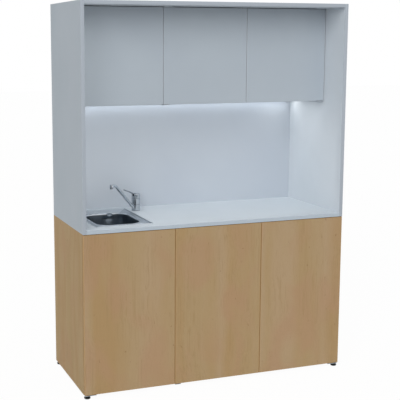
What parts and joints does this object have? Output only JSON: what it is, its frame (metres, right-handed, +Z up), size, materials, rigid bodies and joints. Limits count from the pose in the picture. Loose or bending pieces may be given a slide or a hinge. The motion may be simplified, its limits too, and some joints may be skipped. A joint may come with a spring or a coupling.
{
  "type": "kitchenette unit",
  "caption": "Kitchenette in one cabinet: wood-fronted base with an inset sink and mixer tap, an open lit niche and a recessed white wall cabinet above.",
  "frame": {"origin": "on the floor, under the middle of the unit's outline", "axes": "+X to the right as seen from the front, +Y towards the wall behind the unit, +Z up"},
  "size_m": [1.5, 0.6, 2.036],
  "materials": {
    "white_board": "white melamine-faced chipboard, fine matt grain",
    "wood_side": "maple-look melamine, vertical figure, satin",
    "wood_front": "maple-look melamine, vertical figure, satin",
    "white_front": "white melamine-faced chipboard, satin",
    "worktop": "pale laminate, satin",
    "splashback": "white lacquered hardboard, satin",
    "back_board": "hardboard, smooth",
    "nylon": "moulded nylon",
    "plated_steel": "bright zinc plate",
    "latch_case": "moulded, matt",
    "latch_plunger": "moulded, matt",
    "foot": "moulded, satin black",
    "sink_steel": "fine satin stainless",
    "waste_steel": "polished stainless",
    "trap_plastic": "moulded polypropylene",
    "tap_chrome": "bright chrome plate",
    "aerator": "bright chrome plate",
    "tap_nut": "turned brass",
    "copper": "drawn copper pipe",
    "light_case": "satin anodised",
    "light_diffuser": "opal acrylic",
    "light_switch": "moulded, gloss"
  },
  "bodies": {
    "cabinet": {"hutch_side_left": "white_board", "hutch_side_right": "white_board", "hutch_top": "white_board", "wall_bottom": "white_board", "wall_partition_left": "white_board", "wall_partition_right": "white_board", "wall_shelves": "white_board", "base_bottom": "white_board", "base_partition_left": "white_board", "base_partition_right": "white_board", "base_rails": "white_board", "base_shelves": "white_board", "base_side_left": "wood_side", "base_side_right": "wood_side", "worktop": "worktop", "splashback": "splashback", "base_back": "back_board", "lower_pivot_plates": "plated_steel", "upper_pivot_plates": "plated_steel", "rear_foot_plates": "plated_steel", "plate_screws": "plated_steel", "sink_clips": "plated_steel", "shelf_pins": "plated_steel", "latch_cases": "latch_case", "sink_bowl": "sink_steel", "sink_waste": "waste_steel", "waste_trap": "trap_plastic", "tap_body": "tap_chrome", "tap_nut": "tap_nut", "supply_tails": "copper", "light_housing": "light_case", "light_diffuser": "light_diffuser"},
    "lower_left_door": {"door_lower_left": "wood_front", "bushes_lower_left": "nylon"},
    "lower_left_plunger": {"plunger_lower_left": "latch_plunger"},
    "lower_middle_door": {"door_lower_middle": "wood_front", "bushes_lower_middle": "nylon"},
    "lower_middle_plunger": {"plunger_lower_middle": "latch_plunger"},
    "lower_right_door": {"door_lower_right": "wood_front", "bushes_lower_right": "nylon"},
    "lower_right_plunger": {"plunger_lower_right": "latch_plunger"},
    "upper_left_door": {"door_upper_left": "white_front", "bushes_upper_left": "nylon"},
    "upper_left_plunger": {"plunger_upper_left": "latch_plunger"},
    "upper_middle_door": {"door_upper_middle": "white_front", "bushes_upper_middle": "nylon"},
    "upper_middle_plunger": {"plunger_upper_middle": "latch_plunger"},
    "upper_right_door": {"door_upper_right": "white_front", "bushes_upper_right": "nylon"},
    "upper_right_plunger": {"plunger_upper_right": "latch_plunger"},
    "front_left_foot": {"foot_front_left": "foot"},
    "front_right_foot": {"foot_front_right": "foot"},
    "rear_left_foot": {"foot_rear_left": "foot"},
    "rear_right_foot": {"foot_rear_right": "foot"},
    "strainer": {"strainer_basket": "waste_steel"},
    "spout": {"tap_spout": "tap_chrome", "tap_aerator": "aerator"},
    "tap_head": {"tap_cap": "tap_chrome"},
    "lever": {"tap_lever": "tap_chrome"},
    "rocker": {"light_switch": "light_switch"}
  },
  "joints": [
    {"name": "lower_left_door_swing", "type": "hinge", "parent": "cabinet", "child": "lower_left_door", "pos_m": [-0.743, -0.2945, 0.4455], "axis": [0, 0, -1], "range_deg": [0, 110]},
    {"name": "lower_left_plunger_slide", "type": "slide", "parent": "cabinet", "child": "lower_left_plunger", "axis": [0, -1, 0], "range_m": [0, 0.0125]},
    {"name": "lower_middle_door_swing", "type": "hinge", "parent": "cabinet", "child": "lower_middle_door", "pos_m": [-0.243, -0.2945, 0.4455], "axis": [0, 0, -1], "range_deg": [0, 110]},
    {"name": "lower_middle_plunger_slide", "type": "slide", "parent": "cabinet", "child": "lower_middle_plunger", "axis": [0, -1, 0], "range_m": [0, 0.0125]},
    {"name": "lower_right_door_swing", "type": "hinge", "parent": "cabinet", "child": "lower_right_door", "pos_m": [0.743, -0.2945, 0.4455], "axis": [0, 0, 1], "range_deg": [0, 110]},
    {"name": "lower_right_plunger_slide", "type": "slide", "parent": "cabinet", "child": "lower_right_plunger", "axis": [0, -1, 0], "range_m": [0, 0.0125]},
    {"name": "upper_left_door_swing", "type": "hinge", "parent": "cabinet", "child": "upper_left_door", "pos_m": [-0.7225, -0.0945, 1.759], "axis": [0, 0, -1], "range_deg": [0, 90]},
    {"name": "upper_left_plunger_slide", "type": "slide", "parent": "cabinet", "child": "upper_left_plunger", "axis": [0, -1, 0], "range_m": [0, 0.0125]},
    {"name": "upper_middle_door_swing", "type": "hinge", "parent": "cabinet", "child": "upper_middle_door", "pos_m": [-0.23617, -0.0945, 1.759], "axis": [0, 0, -1], "range_deg": [0, 110]},
    {"name": "upper_middle_plunger_slide", "type": "slide", "parent": "cabinet", "child": "upper_middle_plunger", "axis": [0, -1, 0], "range_m": [0, 0.0125]},
    {"name": "upper_right_door_swing", "type": "hinge", "parent": "cabinet", "child": "upper_right_door", "pos_m": [0.7225, -0.0945, 1.759], "axis": [0, 0, 1], "range_deg": [0, 90]},
    {"name": "upper_right_plunger_slide", "type": "slide", "parent": "cabinet", "child": "upper_right_plunger", "axis": [0, -1, 0], "range_m": [0, 0.0125]},
    {"name": "front_left_foot_height", "type": "slide", "parent": "cabinet", "child": "front_left_foot", "axis": [0, 0, -1], "range_m": [0, 0.005]},
    {"name": "front_right_foot_height", "type": "slide", "parent": "cabinet", "child": "front_right_foot", "axis": [0, 0, -1], "range_m": [0, 0.005]},
    {"name": "rear_left_foot_height", "type": "slide", "parent": "cabinet", "child": "rear_left_foot", "axis": [0, 0, -1], "range_m": [0, 0.005]},
    {"name": "rear_right_foot_height", "type": "slide", "parent": "cabinet", "child": "rear_right_foot", "axis": [0, 0, -1], "range_m": [0, 0.005]},
    {"name": "strainer_lift", "type": "slide", "parent": "cabinet", "child": "strainer", "axis": [0, 0, 1], "range_m": [0, 0.12]},
    {"name": "spout_swivel", "type": "hinge", "parent": "cabinet", "child": "spout", "pos_m": [-0.306, 0.172, 0.91], "axis": [0, 0, 1], "range_deg": [-60, 165]},
    {"name": "tap_head_turn", "type": "hinge", "parent": "cabinet", "child": "tap_head", "pos_m": [-0.306, 0.172, 0.97], "axis": [0, 0, 1], "range_deg": [-45, 45]},
    {"name": "lever_lift", "type": "hinge", "parent": "tap_head", "child": "lever", "pos_m": [-0.31251, 0.16735, 0.9813], "axis": [-0.5807, 0.8141, 0], "range_deg": [0, 25]},
    {"name": "light_rocker", "type": "hinge", "parent": "cabinet", "child": "rocker", "pos_m": [0.65, 0.249, 1.495], "axis": [0, 0, 1], "range_deg": [0, 12]}
  ],
  "couplings": [
    {"joint": "lower_left_plunger_slide", "follows": "lower_left_door_swing", "m_per_rad": 0.00625},
    {"joint": "lower_middle_plunger_slide", "follows": "lower_middle_door_swing", "m_per_rad": 0.00625},
    {"joint": "lower_right_plunger_slide", "follows": "lower_right_door_swing", "m_per_rad": 0.00625},
    {"joint": "upper_left_plunger_slide", "follows": "upper_left_door_swing", "m_per_rad": 0.00625},
    {"joint": "upper_middle_plunger_slide", "follows": "upper_middle_door_swing", "m_per_rad": 0.00625},
    {"joint": "upper_right_plunger_slide", "follows": "upper_right_door_swing", "m_per_rad": 0.00625}
  ]
}
